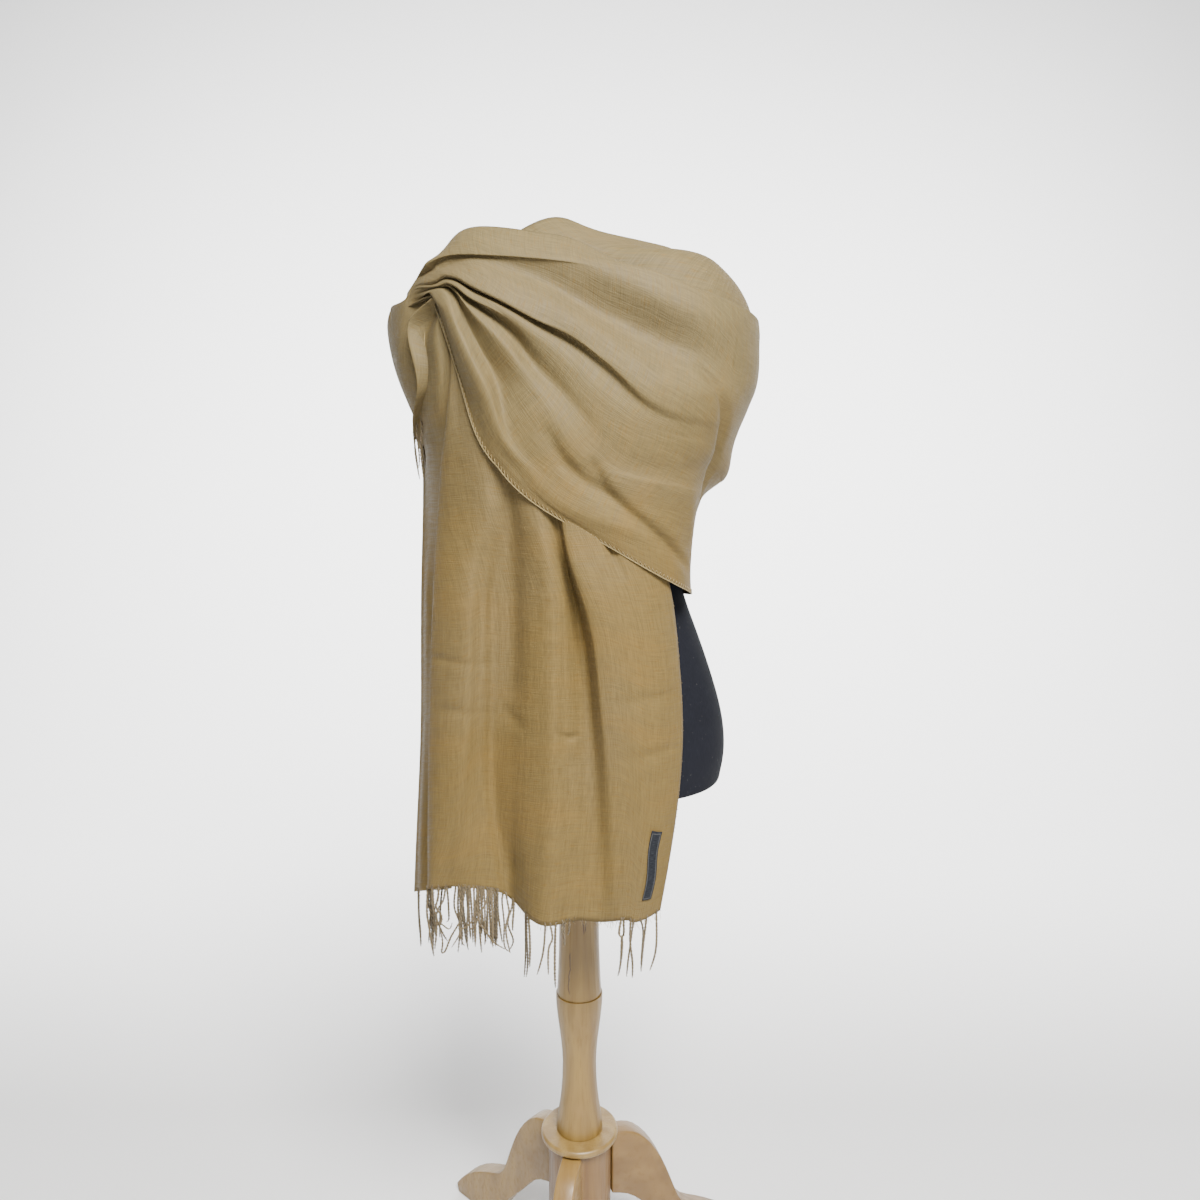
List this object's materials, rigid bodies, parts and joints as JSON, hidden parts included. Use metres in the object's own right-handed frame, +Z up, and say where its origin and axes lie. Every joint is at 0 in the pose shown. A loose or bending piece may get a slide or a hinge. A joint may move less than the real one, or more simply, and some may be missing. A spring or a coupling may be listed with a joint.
{
  "type": "alpaca shawl on a dress form stand",
  "caption": "Fringed camel alpaca shawl hung down the front, wrapped round the back and crossed over one shoulder of a dark dress form on a turned wooden stand.",
  "frame": {"origin": "The middle of the box round the whole display, on the ground.", "axes": "+Z up. -Y is the front, as the picture is taken; +X is the viewer's right. The dress form is turned 15 degrees on its post towards the viewer's right hand."},
  "size_m": [0.446, 0.3968, 1.3123],
  "materials": {
    "alpaca": "finely woven golden camel alpaca with a soft sheen",
    "woven_label": "smooth dark slate woven label, bare",
    "jersey": "matt near-black stretched jersey",
    "wood": "pale turned pine, thinly varnished"
  },
  "bodies": {
    "root": {"shawl_front_panel": "alpaca", "shawl_back_stretch": "alpaca", "shawl_cross_stretch": "alpaca", "shawl_throw": "alpaca", "front_fringe": "alpaca", "throw_fringe": "alpaca", "shawl_label": "woven_label", "dress_form": "jersey", "form_plate": "wood", "upper_post": "wood", "lower_post": "wood", "collar_disc": "wood", "hub": "wood", "leg_front": "wood", "leg_left": "wood", "leg_right": "wood"}
  },
  "joints": []
}
